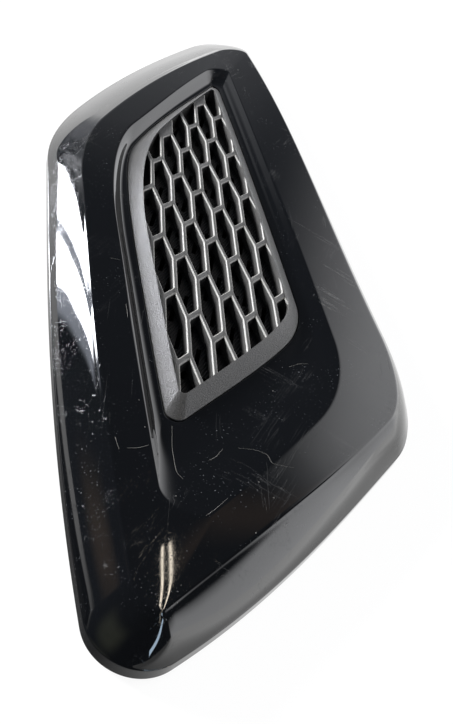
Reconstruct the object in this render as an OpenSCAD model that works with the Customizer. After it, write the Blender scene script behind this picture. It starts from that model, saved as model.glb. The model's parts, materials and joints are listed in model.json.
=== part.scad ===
// Bonnet vent: a gloss surround, a matt hexagonal grille behind its window, and what holds them together.
// +Z is the outward normal, +Y runs along the two straight long sides, and the seat of the rim is z = 0.
// Every outline is a blade: two long sides, a sloping top end and a sloping bottom end, with soft corners.

/* [Body outline] */
// Distance between the two long sides, at the middle of the body
body_w = 106.4; // [104:0.2:116]
// Where the top end crosses the centre line, above the middle
body_top = 122.4; // [118:0.1:130]
// Where the bottom end crosses the centre line, below the middle
body_bottom = 131; // [127:0.1:137]
// Slope of the top end, in degrees
top_slope = 53; // [51:0.5:55]
// Slope of the bottom end, in degrees
bottom_slope = 38; // [36:0.5:41]
// Lean of the right long side, in degrees
right_lean = 1.4; // [0:0.1:2]

/* [Bevel and heights] */
// Height of the upright rim wall
rim_h = 3.6; // [2.5:0.1:5]
// Height of the crease where the bevel meets the main face
crease_z = 13.8; // [12:0.1:16]
// Rise of the main face from its crease to the edge of the dish
crown = 0.6; // [0.2:0.1:1.5]
// Width of the bevel along the left side
bevel_left = 8.6; // [7:0.1:11]
// Width of the bevel along the top end
bevel_top = 18.3; // [15:0.1:20]
// Width of the bevel along the right side
bevel_right = 9.4; // [8:0.1:12]
// Width of the bevel along the bottom end
bevel_bottom = 7.7; // [6:0.1:9]
// Wall thickness of the surround
wall = 2.4; // [2:0.1:3]
// Radius of the softened edges
edge_r = 1.2; // [0.6:0.1:1.8]

/* [Window and dish] */
// Left side of the mesh window, from the centre line
window_left = 26.1; // [25:0.1:28]
// Right side of the mesh window, from the centre line
window_right = 15.6; // [14:0.1:17]
// Where the window's top end crosses the centre line
window_top = 63.6; // [60:0.1:66]
// Where the window's bottom end crosses the centre line, below the middle
window_bottom = 69.2; // [66:0.1:72]
// Slope of the window's top end, in degrees
window_top_slope = 56; // [54:0.5:58]
// Slope of the window's bottom end, in degrees
window_bottom_slope = 41; // [39:0.5:43]
// Depth of the dish, from the main face down to the grille's edge
dish_depth = 2.6; // [2:0.1:3]
// Share of that depth that is left where the steep edge of the dish meets its flat floor
dish_roll = 0.16; // [0.1:0.02:0.4]
// Width of the dish on the left side
dish_left = 5.6; // [5:0.1:6.5]
// Width of the dish at the top end
dish_top = 6.2; // [5:0.1:8]
// Width of the dish on the right side
dish_right = 6.6; // [5:0.1:8]
// Width of the dish at the bottom end
dish_bottom = 24; // [18:0.5:26]
// Width of the flat floor of the dish on the left side
floor_left = 3.5; // [2.5:0.1:4]
// Width of the floor at the top end
floor_top = 2.6; // [2:0.1:4]
// Width of the floor on the right side
floor_right = 2.9; // [2:0.1:4]
// Width of the floor at the bottom end
floor_bottom = 10; // [8:0.5:13]

/* [Grille] */
// Width of the grille's bevelled border along the left side
border_left = 3.7; // [3.2:0.1:4.5]
// Width of the border at the top end
border_top = 2.6; // [2.5:0.1:3.2]
// Width of the border along the right side
border_right = 4.3; // [3.2:0.1:5]
// Width of the border at the bottom end
border_bottom = 4.4; // [3.4:0.1:5]
// Rise of the border from its outer edge to its inner edge
border_rise = 3.1; // [2:0.1:3.5]
// Depth of the mesh bars
mesh_depth = 4.4; // [3.5:0.1:5]
// How far the mesh lies below the border's inner edge
mesh_drop = 0.8; // [0.4:0.1:1.2]
// Width of a strand of the mesh
strand_w = 1.4; // [1.1:0.1:1.8]
// Width of a knot of the mesh
knot_w = 2; // [1.5:0.1:2.4]
// Sideways distance between neighbouring knots
knot_pitch = 6; // [5.5:0.1:7]
// Drop from one knot to the next one on its right
side_drop = 8.4; // [7.5:0.1:9]
// Drop from one knot to the next one on its left
row_drop = 18.8; // [17:0.1:20]
// Sideways run of a knot
knot_run = 4.2; // [3.6:0.1:4.8]
// Rise of a knot over its run
knot_rise = 3.7; // [3:0.1:4.2]
// Height above the middle of the knot that the mesh is counted from
first_knot_y = 71.7; // [68:0.1:75]
// Place of that knot to the right of the centre line
first_knot_x = 7.4; // [5:0.1:9]
// Width of the flange behind the surround's window
flange_w = 3.6; // [3:0.1:4]
// Thickness of the flange and of its ears
flange_t = 2; // [1.6:0.1:2.2]
// Gap between the grille and the window of the surround
grille_gap = 0.3; // [0.2:0.05:0.4]

/* [Backing screen] */
// Thickness of the backing screen
screen_t = 1.2; // [0.8:0.1:1.4]
// Width of the ledge that the screen lies against
screen_ledge = 2.2; // [1.8:0.1:2.4]
// Gap around the screen
screen_gap = 0.2; // [0.1:0.05:0.3]
// Length of a slot in the screen
slot_len = 9; // [7:0.5:10]
// Width of a slot in the screen
slot_w = 1.4; // [1:0.1:1.8]
// Distance from one slot to the next beside it
slot_pitch = 4.2; // [3.8:0.1:5]
// Distance from one row of slots to the next
slot_row = 11.5; // [11:0.5:13]
// Turn of the slots away from the long sides, in degrees
slot_turn = 18; // [10:1:25]
// Margin between the slots and the edge of the window
slot_margin = 2; // [1.5:0.1:3]
// Radius of the stake pins that hold the screen
stake_r = 0.6; // [0.5:0.05:0.7]
// Radius of the flattened heads of the stake pins
stake_head_r = 1; // [0.9:0.05:1.05]
// Thickness of the flattened heads
stake_head_t = 0.6; // [0.4:0.1:0.8]
// Clearance of the screen's holes around the stake pins
stake_gap = 0.1; // [0.05:0.05:0.2]

/* [Fasteners] */
// Radius of a grille screw's thread
screw_r = 1.45; // [1.2:0.05:1.6]
// Length of a grille screw under its head
screw_len = 5; // [4:0.1:5.2]
// Space left beyond the tip of a grille screw
screw_spare = 0.3; // [0.2:0.1:0.5]
// Clearance of the holes in the ears around the screws
screw_gap = 0.3; // [0.2:0.1:0.5]
// Radius of a grille screw's head
screw_head_r = 2.8; // [2.4:0.1:3.2]
// Height of a grille screw's head
screw_head_h = 1.9; // [1.5:0.1:2.2]
// Length of each arm of the cross recess in a screw's head
recess_len = 3.1; // [2.4:0.1:3.6]
// Width of an arm of the cross recess
recess_w = 0.7; // [0.5:0.1:0.9]
// Depth of the cross recess
recess_depth = 1; // [0.6:0.1:1.2]
// Radius of the ears on the grille's flange
ear_r = 3.6; // [3.4:0.1:4]
// Width of the neck between an ear and the flange
ear_neck = 6.2; // [5:0.1:6.4]
// Distance from the flange's edge to a screw
ear_out = 3.4; // [3:0.1:3.8]
// Radius of a mounting boss
boss_r = 4.2; // [3.8:0.1:5]
// Radius of the pilot hole in a mounting boss
boss_hole_r = 2; // [1.6:0.1:2.4]
// Depth of the pilot hole in a mounting boss
boss_hole_depth = 9; // [7:0.5:9.5]
// Height of the bosses' ends above the seat of the rim
boss_end_z = 0.4; // [0:0.1:1]
// Distance of the right bosses from the right long side
boss_right_in = 17.2; // [16.6:0.2:19]
// Distance of the left bosses from the left long side
boss_left_in = 12.4; // [12.2:0.1:12.8]
// Distance of the middle bosses from the centre line
boss_mid_x = 8; // [7:0.5:9]
// Drop of the upper right boss below the top end's height on the centre line
boss_right_top = 26.4; // [22:0.1:31]
// Height of the lower right boss above the bottom end's height on the centre line
boss_right_low = 59; // [53:0.1:65]
// Height of the upper left boss above the bottom end's height on the centre line
boss_left_top = 97; // [93:0.1:99]
// Height of the lower left boss above the bottom end's height on the centre line
boss_left_low = 7; // [4:0.1:12]
// Drop of the upper middle boss below the top end's height on the centre line
boss_mid_top = 47.4; // [46:0.1:49]
// Height of the lower middle boss above the bottom end's height on the centre line
boss_mid_low = 12; // [11:0.1:14]

/* [Rim seal] */
// Width of the foam seal
seal_w = 3.6; // [2.5:0.1:4]
// Clearance between the seal and the skin above it
seal_clear = 0.4; // [0.3:0.1:0.8]
// Tilt of the top of the seal, in degrees
seal_tilt = 24; // [10:1:25]
// Gap between the seal and the rim wall
seal_gap = 0.1; // [0.05:0.05:0.3]
// Height of the seal's underside above the seat of the rim
seal_z = 0.3; // [0:0.1:0.6]

/* [Hidden] */

$fn = 40;
side_steps = 11;     // points along each long or end side
corner_steps = 7;    // points around each corner
edge_steps = 2;      // rings that round each edge
hair = 0.05;         // overlap that joins one form to the next
bite = 0.2;          // how far the bosses and pads reach into the skin
mesh_root = 0.3;     // how far the mesh reaches into the border
past = 1;            // how far a cut runs past the form that it cuts

face_z = crease_z + crown;
lip_z = face_z - dish_depth;
seat_z = lip_z - wall;
border_top_z = lip_z + border_rise;
mesh_z = border_top_z - mesh_drop;
screen_z = mesh_z - mesh_depth;
flange_z = seat_z - flange_t;
post_top = face_z - wall + bite;

// Lines of a blade: left, right, top and bottom, then its lean and its two slopes
body_lines = [body_w / 2, body_w / 2, body_top, body_bottom, right_lean, top_slope, bottom_slope];
window_lines = [window_left, window_right, window_top, window_bottom,
                0, window_top_slope, window_bottom_slope];
border = [border_left, border_right, border_top, border_bottom];
dish = [dish_left, dish_right, dish_top, dish_bottom];
dish_floor = [floor_left, floor_right, floor_top, floor_bottom];
bevel = [bevel_left, bevel_right, bevel_top, bevel_bottom];

// Setbacks of the eight ends of the sides from their corners, clockwise from the foot of the left side,
// and how far each end turns outwards from its side, in degrees
body_corners = [25, 22, 22, 48, 32, 38, 18, 24];
body_bows = [5, 2, 7, 6, 4, 0, 4, 9];
crease_corners = [13, 28, 18, 23, 15, 29, 13, 8];
crease_bows = [3, 1, 7, 7, 6, 0, 5, 1];
dish_corners = [18, 46, 24, 20, 14, 21, 20, 18];
dish_bows = [1, 0, 0, 4, 1, 1, 2, 1];
border_corners = [7, 64, 10, 6, 8, 12, 13, 7];
border_bows = [1, 0, 9, 2, 1, 1, 4, 1];
window_corners = [3, 52, 26, 3, 3, 8, 20, 3];
window_bows = [1, 0, 2, 3, 1, 1, 2, 1];

function unit(angle) = [cos(angle), sin(angle)];
function cross2(a, b) = a[0] * b[1] - a[1] * b[0];
// Where the line through p at angle a meets the line through q at angle b
function meet(p, a, q, b) = p + unit(a) * cross2(q - p, unit(b)) / cross2(unit(a), unit(b));
function cubic(p, h, k, q, t) =
    pow(1 - t, 3) * p + 3 * pow(1 - t, 2) * t * h + 3 * (1 - t) * t * t * k + pow(t, 3) * q;

// A side that leaves p at angle a and reaches q at angle b, bowing a little between them
function side(p, a, q, b) =
    let (reach = norm(q - p) / 3)
    [for (i = [0 : side_steps - 1]) cubic(p, p + reach * unit(a), q - reach * unit(b), q, i / side_steps)];

// A corner from p at angle a to q at angle b, close to an arc
function corner(p, a, q, b) =
    let (m = meet(p, a, q, b), turn = a - b, pull = 4 / 3 * tan(turn / 4) / tan(turn / 2))
    [for (i = [0 : corner_steps - 1])
        cubic(p, p + pull * (m - p), q + pull * (m - q), q, i / corner_steps)];

// Moves the four lines of a blade outwards by d = [left, right, top, bottom]
function grown(lines, d) = [
    lines[0] + d[0], lines[1] + d[1] / cos(lines[4]),
    lines[2] + d[2] / cos(lines[5]), lines[3] + d[3] / cos(lines[6]),
    lines[4], lines[5], lines[6]];
function grown_all(lines, d) = grown(lines, [d, d, d, d]);

// The outline of a blade, clockwise from the foot of its left side
function blade(lines, cuts, bows) =
    let (down = lines[4] - 90, up_end = lines[5], low_end = lines[6] - 180,
         left = [-lines[0], 0], right = [lines[1], 0], top = [0, lines[2]], bottom = [0, -lines[3]],
         a = meet(left, 90, top, up_end), b = meet(top, up_end, right, down),
         c = meet(right, down, bottom, low_end), d = meet(bottom, low_end, left, 90),
         k = [d + cuts[0] * unit(90), a - cuts[1] * unit(90),
              a + cuts[2] * unit(up_end), b - cuts[3] * unit(up_end),
              b + cuts[4] * unit(down), c - cuts[5] * unit(down),
              c + cuts[6] * unit(low_end), d - cuts[7] * unit(low_end)],
         h = [90 + bows[0], 90 - bows[1], up_end + bows[2], up_end - bows[3],
              down + bows[4], down - bows[5], low_end + bows[6], low_end - bows[7]])
    concat(side(k[0], h[0], k[1], h[1]), corner(k[1], h[1], k[2], h[2]),
           side(k[2], h[2], k[3], h[3]), corner(k[3], h[3], k[4], h[4]),
           side(k[4], h[4], k[5], h[5]), corner(k[5], h[5], k[6], h[6]),
           side(k[6], h[6], k[7], h[7]), corner(k[7], h[7] + 360, k[0], h[0]));

function at_height(outline, z) = [for (p = outline) [p[0], p[1], z]];
function toward(p, q, d) = p + (q - p) * min(0.45, d / norm(q - p));

// The ring b with its edge softened towards the rings a and c
function soft_edge(a, b, c, r) =
    [for (s = [0 : edge_steps]) let (t = s / edge_steps)
        [for (i = [0 : len(b) - 1])
            let (p = toward(b[i], a[i], r), q = toward(b[i], c[i], r))
            pow(1 - t, 2) * p + 2 * t * (1 - t) * b[i] + t * t * q]];

// A closed band that runs through its rings in turn and back to the first one
module band(rings) {
    n = len(rings[0]);
    m = len(rings);
    polyhedron(
        points = [for (ring = rings) each ring],
        faces = [for (r = [0 : m - 1], i = [0 : n - 1])
            let (a = r * n + i, b = r * n + (i + 1) % n,
                 c = (r + 1) % m * n + (i + 1) % n, d = (r + 1) % m * n + i)
            each [[a, b, c], [a, c, d]]],
        convexity = 6);
}

body_outline = blade(body_lines, body_corners, body_bows);
crease_lines = grown(body_lines, -bevel);
border_lines = grown(window_lines, border);
dish_lines = grown(border_lines, dish);
border_outline = blade(border_lines, border_corners, border_bows);
window_outline = blade(window_lines, window_corners, window_bows);
flange_outline = blade(grown_all(border_lines, flange_w), border_corners, border_bows);

// Middle of the body's outline, which every sub-part is moved by to sit over the origin
outline_x = [for (p = body_outline) p[0]];
outline_y = [for (p = body_outline) p[1]];
body_mid = [min(outline_x) + max(outline_x), min(outline_y) + max(outline_y)] / 2;
module centred() { translate([-body_mid[0], -body_mid[1], 0]) children(); }

// Places of the grille's six screws, on ears that stand out from the flange at these points of its outline
ear_points = [3, 12, 21, 38, 41, 45];
function outward(outline, i) =
    let (n = len(outline), run = outline[(i + 1) % n] - outline[(i + n - 1) % n])
    [-run[1], run[0]] / norm(run);
ear_outward = [for (i = ear_points) outward(flange_outline, i)];
ear_places = [for (n = [0 : 5]) flange_outline[ear_points[n]] + ear_out * ear_outward[n]];

// Places of the mounting bosses: pairs in line along the body
right_boss_x = body_w / 2 - boss_right_in;
left_boss_x = boss_left_in - body_w / 2;
boss_places = [
    [right_boss_x, body_top - boss_right_top], [right_boss_x, boss_right_low - body_bottom],
    [left_boss_x, boss_left_top - body_bottom], [left_boss_x, boss_left_low - body_bottom],
    [-boss_mid_x, body_top - boss_mid_top], [-boss_mid_x, boss_mid_low - body_bottom]];

// Outer skin, lip and inner skin of the surround, ring by ring
function surround_rings() =
    let (soft = edge_r,
         foot = at_height(body_outline, 0),
         rim = at_height(body_outline, rim_h),
         crease = at_height(blade(crease_lines, crease_corners, crease_bows), crease_z),
         fold = at_height(blade(dish_lines, dish_corners, dish_bows), face_z),
         roll = at_height(blade(grown(border_lines, dish_floor), (border_corners + dish_corners) / 2,
                                (border_bows + dish_bows) / 2), lip_z + dish_roll * dish_depth),
         lip_outline = blade(grown_all(border_lines, grille_gap), border_corners, border_bows),
         lip = at_height(lip_outline, lip_z),
         lip_under = at_height(lip_outline, seat_z),
         seat = at_height(blade(grown_all(border_lines, flange_w + grille_gap),
                                border_corners, border_bows), seat_z),
         fold_under = at_height(blade(grown_all(dish_lines, wall / 2), dish_corners, dish_bows),
                                face_z - wall),
         crease_under = at_height(blade(grown_all(crease_lines, -wall / 2), crease_corners, crease_bows),
                                  crease_z - wall),
         rim_under = at_height(blade(grown_all(body_lines, -wall), body_corners, body_bows),
                               rim_h - wall / 2),
         foot_under = at_height(blade(grown_all(body_lines, -wall), body_corners, body_bows), 0))
    concat([foot], soft_edge(foot, rim, crease, soft / 2), soft_edge(rim, crease, fold, soft),
           soft_edge(crease, fold, roll, soft), [roll, lip, lip_under, seat, fold_under,
           crease_under, rim_under, foot_under]);

module surround() {
    color("#17181b") centred() difference() {
        union() {
            band(surround_rings());
            for (p = boss_places) translate([p[0], p[1], boss_end_z])
                cylinder(r = boss_r, h = post_top - boss_end_z);
            for (p = ear_places) translate([p[0], p[1], seat_z])
                cylinder(r = ear_r, h = post_top - seat_z);
        }
        for (p = boss_places) translate([p[0], p[1], boss_end_z - past])
            cylinder(r = boss_hole_r, h = boss_hole_depth + past);
        for (p = ear_places) translate([p[0], p[1], seat_z - past])
            cylinder(r = screw_r, h = screw_len - flange_t + screw_spare + past);
    }
}

// One opening of the mesh: six sides between four knots
function knot_at(i, j) = [first_knot_x + (i - j) * knot_pitch, first_knot_y - i * side_drop - j * row_drop];
knot_half = [knot_run, knot_rise] / 2;
function inset_edge(p, q, d) = let (u = (q - p) / norm(q - p)) [p + d * [u[1], -u[0]], u];
function crossing(e, f) = e[0] + e[1] * cross2(f[0] - e[0], f[1]) / cross2(e[1], f[1]);
function cell(i, j) =
    let (v = [knot_at(i, j) - knot_half, knot_at(i, j) + knot_half, knot_at(i + 1, j) - knot_half,
              knot_at(i + 1, j + 1) + knot_half, knot_at(i + 1, j + 1) - knot_half,
              knot_at(i, j + 1) + knot_half],
         w = [knot_w, strand_w, strand_w, knot_w, strand_w, strand_w] / 2,
         e = [for (n = [0 : 5]) inset_edge(v[n], v[(n + 1) % 6], w[n])])
    [for (n = [0 : 5]) crossing(e[(n + 5) % 6], e[n])];

// Knots are counted to the right with the first number and to the left with the second one
mesh_right = [-2 : 6];
mesh_left = [-1 : 9];
// These two openings, at the top end of the window, are moulded shut
closed_cells = [[-2, 1], [-1, -1]];
function is_open(i, j) = len([for (c = closed_cells) if (c == [i, j]) c]) == 0;
module mesh_plate() {
    translate([0, 0, screen_z + hair]) linear_extrude(mesh_depth - hair)
        difference() {
            polygon(blade(grown_all(window_lines, mesh_root), window_corners, window_bows));
            for (i = mesh_right, j = mesh_left) if (is_open(i, j)) polygon(cell(i, j));
        }
}

// Stake pins stand at these points of a line along the middle of the screen's ledge
stake_points = [2, 9, 38, 44];
stake_line = blade(grown_all(window_lines, screen_ledge / 2), window_corners, window_bows);
stake_places = [for (i = stake_points) stake_line[i]];

module stake() {
    cylinder(r = stake_head_r, h = stake_head_t);
    cylinder(r = stake_r, h = stake_head_t + screen_t + hair);
}

// An ear of the flange, which reaches back to the flange from its screw
module ear(n) {
    linear_extrude(flange_t) {
        circle(r = ear_r);
        rotate(atan2(-ear_outward[n][1], -ear_outward[n][0])) translate([0, -ear_neck / 2])
            square([ear_out + flange_w / 2, ear_neck]);
    }
}

module grille_insert() {
    ledge = blade(grown_all(window_lines, screen_ledge), window_corners, window_bows);
    color("#77756f") centred() difference() {
        union() {
            band([
                at_height(flange_outline, flange_z), at_height(flange_outline, seat_z),
                at_height(border_outline, seat_z), at_height(border_outline, lip_z),
                at_height(window_outline, border_top_z), at_height(window_outline, screen_z),
                at_height(ledge, screen_z), at_height(ledge, flange_z)]);
            mesh_plate();
            for (n = [0 : 5]) translate([ear_places[n][0], ear_places[n][1], flange_z]) ear(n);
            for (p = stake_places) translate([p[0], p[1], screen_z - screen_t - stake_head_t]) stake();
        }
        for (p = ear_places) translate([p[0], p[1], flange_z - past])
            cylinder(r = screw_r + screw_gap, h = flange_t + 2 * past);
    }
}

// Slots are counted across and along the screen from its middle
slot_across = [-6 : 6];
slot_along = [-8 : 6];
module screen_slots() {
    intersection() {
        polygon(blade(grown_all(window_lines, -slot_margin), window_corners, window_bows));
        for (i = slot_across, j = slot_along)
            translate([i * slot_pitch, j * slot_row + i * slot_pitch * tan(window_bottom_slope)])
                rotate(-slot_turn) square([slot_w, slot_len], center = true);
    }
}

module backing_screen() {
    outline = blade(grown_all(window_lines, screen_ledge - screen_gap), window_corners, window_bows);
    color("#202123") centred() translate([0, 0, screen_z - screen_t]) difference() {
        linear_extrude(screen_t) difference() {
            polygon(outline);
            screen_slots();
        }
        for (p = stake_places) translate([p[0], p[1], -past])
            cylinder(r = stake_r + stake_gap, h = screen_t + 2 * past);
    }
}

module grille_screw(n) {
    color("#8d8f92") centred() translate([ear_places[n][0], ear_places[n][1], flange_z - screw_head_h])
        difference() {
            union() {
                cylinder(r = screw_head_r, h = screw_head_h);
                cylinder(r = screw_r - hair, h = screw_head_h + screw_len);
            }
            for (turn = [0, 90]) rotate(turn) translate([-recess_len / 2, -recess_w / 2, -past])
                cube([recess_len, recess_w, recess_depth + past]);
        }
}

module rim_seal() {
    outer = blade(grown_all(body_lines, -wall - seal_gap), body_corners, body_bows);
    inner = blade(grown_all(body_lines, -wall - seal_gap - seal_w), body_corners, body_bows);
    seal_top = rim_h - wall / 2 - seal_clear;
    color("#3a3a3c") centred() band([
        at_height(outer, seal_z), at_height(outer, seal_top),
        at_height(inner, seal_top + seal_w * tan(seal_tilt)), at_height(inner, seal_z)]);
}

surround();
grille_insert();
backing_screen();
rim_seal();
grille_screw(0);  // grille_screw_1
grille_screw(1);  // grille_screw_2
grille_screw(2);  // grille_screw_3
grille_screw(3);  // grille_screw_4
grille_screw(4);  // grille_screw_5
grille_screw(5);  // grille_screw_6
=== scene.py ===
# %% [markdown]
# # A hood vent in gloss black and matt grey
# The object is a blade-shaped vent from the hood of a car: a gloss black moulding with a bevelled rim, and
# a matt grille of long hexagons set into a shallow dish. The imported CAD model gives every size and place.
# This lesson puts smooth, finished surfaces around it, step by step, and lights them like a product
# photograph.

# %% Load the frame
import json
import math
import bpy
import numpy as np
from mathutils import Matrix, Vector
from mathutils.bvhtree import BVHTree


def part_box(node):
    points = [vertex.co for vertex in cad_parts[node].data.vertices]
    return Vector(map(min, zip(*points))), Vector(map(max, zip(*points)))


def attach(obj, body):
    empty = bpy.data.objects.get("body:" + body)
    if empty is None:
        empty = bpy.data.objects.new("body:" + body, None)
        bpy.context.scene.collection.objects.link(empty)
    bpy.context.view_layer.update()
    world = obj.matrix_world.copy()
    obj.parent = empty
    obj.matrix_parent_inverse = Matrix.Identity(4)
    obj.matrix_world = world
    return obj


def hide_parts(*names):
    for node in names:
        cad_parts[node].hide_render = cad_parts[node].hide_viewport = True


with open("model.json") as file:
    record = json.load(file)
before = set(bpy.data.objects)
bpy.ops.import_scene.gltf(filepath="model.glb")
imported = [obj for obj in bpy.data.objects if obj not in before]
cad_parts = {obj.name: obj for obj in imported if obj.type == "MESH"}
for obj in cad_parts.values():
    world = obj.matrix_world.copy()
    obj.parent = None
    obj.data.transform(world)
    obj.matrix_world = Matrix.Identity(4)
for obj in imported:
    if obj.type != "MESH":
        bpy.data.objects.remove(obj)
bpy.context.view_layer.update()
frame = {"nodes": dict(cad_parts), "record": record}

MM = 0.001                      # one millimetre in Blender's metres
SCENE = bpy.context.scene
print("nodes:", sorted(frame["nodes"]))

# %% [markdown]
# ## Helpers
# Colours are written as sRGB hex values, the way a paint chart gives them, and one function turns them to
# the linear values that shaders use. A second function adds a shader node with its settings and its links
# in one line.

# %% Colour and node helpers
def linear(hex_colour):
    """sRGB hex text to a linear RGBA tuple."""
    parts = [int(hex_colour[i:i + 2], 16) / 255 for i in (1, 3, 5)]
    return tuple(c / 12.92 if c <= 0.04045 else ((c + 0.055) / 1.055) ** 2.4 for c in parts) + (1.0,)


def add(tree, kind, settings=None, **inputs):
    """Adds a node. An input is a value or a socket; a space in its name is written as an underscore."""
    node = tree.nodes.new(kind)
    for name, value in (settings or {}).items():
        setattr(node, name, value)
    for name, value in inputs.items():
        key = int(name[1:]) if name[0] == "i" and name[1:].isdigit() else name.replace("_", " ")
        socket = node.inputs[key]
        if isinstance(value, bpy.types.NodeSocket):
            tree.links.new(value, socket)
        else:
            socket.default_value = value
    return node


def math_node(tree, operation, a, b=0.0, c=0.0):
    """A Math node's result."""
    return add(tree, "ShaderNodeMath", {"operation": operation}, i0=a, i1=b, i2=c).outputs[0]


def times(tree, a, b):
    return math_node(tree, "MULTIPLY", a, b)


def times_plus(tree, a, b, c):
    """a times b, plus c."""
    return math_node(tree, "MULTIPLY_ADD", a, b, c)


def smooth_step(tree, value, low, high):
    """0 below low and 1 above high, with a soft change between; low may be the larger one."""
    node = add(tree, "ShaderNodeMapRange", {"interpolation_type": "SMOOTHSTEP"},
               Value=value, From_Min=low, From_Max=high)
    return node.outputs[0]


# %% [markdown]
# ## The camera
# The photograph looks down along the vent from its lower left. Its place and its lens were worked out from
# the vent's straight long sides and from the even spacing of the mesh, so they are given as plain values
# here.

# %% Camera
PICTURE_W, PICTURE_H = 453, 724                    # the photograph's frame, in pixels
FOCAL_PX = 850.0                                   # focal length, in the photograph's pixels
SENSOR_H = 36.0                                    # height of the sensor, mm
EYE = Vector((-89.34, -236.13, 166.14))            # place of the lens, mm
LOOK = Vector((0.34088, 0.68013, -0.64902))        # direction of view
RIGHT = Vector((0.93632, -0.18372, 0.29925))       # the picture's right

down = LOOK.cross(RIGHT)
camera_data = bpy.data.cameras.new("photo_camera")
camera_data.sensor_fit = "VERTICAL"
camera_data.sensor_height = SENSOR_H
camera_data.lens = FOCAL_PX / PICTURE_H * SENSOR_H
camera_data.clip_start = 0.01
camera = bpy.data.objects.new("photo_camera", camera_data)
SCENE.collection.objects.link(camera)
turn = Matrix((RIGHT, -down, -LOOK)).transposed().to_4x4()
camera.matrix_world = Matrix.Translation(EYE * MM) @ turn
SCENE.camera = camera
print("lens", round(camera_data.lens, 2), "mm")


def sight(u, v):
    """Direction from the lens through a pixel of the photograph."""
    ray = LOOK * FOCAL_PX + RIGHT * (u - PICTURE_W / 2) + down * (v - PICTURE_H / 2)
    return ray.normalized()


# %% [markdown]
# ## The blade outline
# Every edge of the vent is the same kind of outline, a blade: two long sides, a sloping top end, a sloping
# bottom end and four soft corners. The CAD model draws it with few points. The same rule with many points
# gives a surface smooth enough for gloss, because a mirror finish shows every flat facet.

# %% Outline functions
SIDE_STEPS, CORNER_STEPS = 46, 44     # points along a side and around a corner


def unit(angle):
    """The direction at an angle in degrees."""
    return np.array([math.cos(math.radians(angle)), math.sin(math.radians(angle))])


def cross2(a, b):
    return a[0] * b[1] - a[1] * b[0]


def meet(p, a, q, b):
    """Where the line through p at angle a meets the line through q at angle b."""
    return p + unit(a) * cross2(q - p, unit(b)) / cross2(unit(a), unit(b))


def cubic(p, h, k, q, steps):
    """Points of a cubic curve, without its last one."""
    t = (np.arange(steps) / steps)[:, None]
    return (1 - t) ** 3 * p + 3 * (1 - t) ** 2 * t * h + 3 * (1 - t) * t ** 2 * k + t ** 3 * q


def side(p, a, q, b):
    """A long or end side, which bows a little between its two ends."""
    reach = np.linalg.norm(q - p) / 3
    return cubic(p, p + reach * unit(a), q - reach * unit(b), q, SIDE_STEPS)


def corner(p, a, q, b):
    """A soft corner, close to an arc."""
    m = meet(p, a, q, b)
    turned = math.radians(a - b)
    pull = 4 / 3 * math.tan(turned / 4) / math.tan(turned / 2)
    return cubic(p, p + pull * (m - p), q + pull * (m - q), q, CORNER_STEPS)


def grown(lines, d):
    """Moves a blade's four lines outwards; d is one distance, or left, right, top and bottom."""
    left, right, top, bottom = np.broadcast_to(d, 4)
    slopes = [math.cos(math.radians(s)) for s in lines[4:]]
    return np.array([lines[0] + left, lines[1] + right / slopes[0], lines[2] + top / slopes[1],
                     lines[3] + bottom / slopes[2], *lines[4:]])


def blade(lines, cuts, bows):
    """The outline of a blade, clockwise from the foot of its left side."""
    down_a, up_a, low_a = lines[4] - 90, lines[5], lines[6] - 180
    left, right = np.array([-lines[0], 0]), np.array([lines[1], 0])
    top, bottom = np.array([0, lines[2]]), np.array([0, -lines[3]])
    a, b = meet(left, 90, top, up_a), meet(top, up_a, right, down_a)
    c, d = meet(right, down_a, bottom, low_a), meet(bottom, low_a, left, 90)
    starts, ends, angles = (d, a, b, c), (a, b, c, d), (90, up_a, down_a, low_a)
    points = []
    for n in range(4):
        first = starts[n] + cuts[2 * n] * unit(angles[n])
        last = ends[n] - cuts[2 * n + 1] * unit(angles[n])
        after = (n + 1) % 4
        following = ends[n] + cuts[2 * after] * unit(angles[after])
        leave, reach = angles[n] + bows[2 * n], angles[n] - bows[2 * n + 1]
        onwards = angles[after] + bows[2 * after] + (0 if n < 3 else -360)
        points.append(side(first, leave, last, reach))
        points.append(corner(last, reach, following, onwards))
    return np.vstack(points)


# %% Sizes of the vent, in millimetres
BODY = np.array([53.2, 53.2, 122.4, 131.0, 1.4, 53, 38])
WINDOW = np.array([26.1, 15.6, 63.6, 69.2, 0, 56, 41])
BEVEL = np.array([8.6, 9.4, 18.3, 7.7])
DISH = np.array([5.6, 6.6, 6.2, 24])
DISH_FLOOR = np.array([3.5, 2.9, 2.6, 10])
BORDER = np.array([3.7, 4.3, 2.6, 4.4])
RIM_H, CREASE_Z, FACE_Z, WALL = 3.6, 13.8, 14.4, 2.4
LIP_Z, BORDER_TOP_Z, MESH_Z, SCREEN_Z, FLANGE_Z = 11.8, 14.9, 14.1, 9.7, 7.4
SEAT_Z = LIP_Z - WALL
GAP, FLANGE_W, LEDGE = 0.3, 3.6, 2.2

CREASE, EDGE = grown(BODY, -BEVEL), grown(WINDOW, BORDER)
FOLD = grown(EDGE, DISH)
BODY_FORM = ([25, 22, 22, 48, 32, 38, 18, 24], [5, 2, 7, 6, 4, 0, 4, 9])
CREASE_FORM = ([13, 28, 18, 23, 15, 29, 13, 8], [3, 1, 7, 7, 6, 0, 5, 1])
FOLD_FORM = ([18, 46, 24, 20, 14, 21, 20, 18], [1, 0, 0, 4, 1, 1, 2, 1])
EDGE_FORM = ([7, 64, 10, 6, 8, 12, 13, 7], [1, 0, 9, 2, 1, 1, 4, 1])
WINDOW_FORM = ([3, 52, 26, 3, 3, 8, 20, 3], [1, 0, 2, 3, 1, 1, 2, 1])

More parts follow.
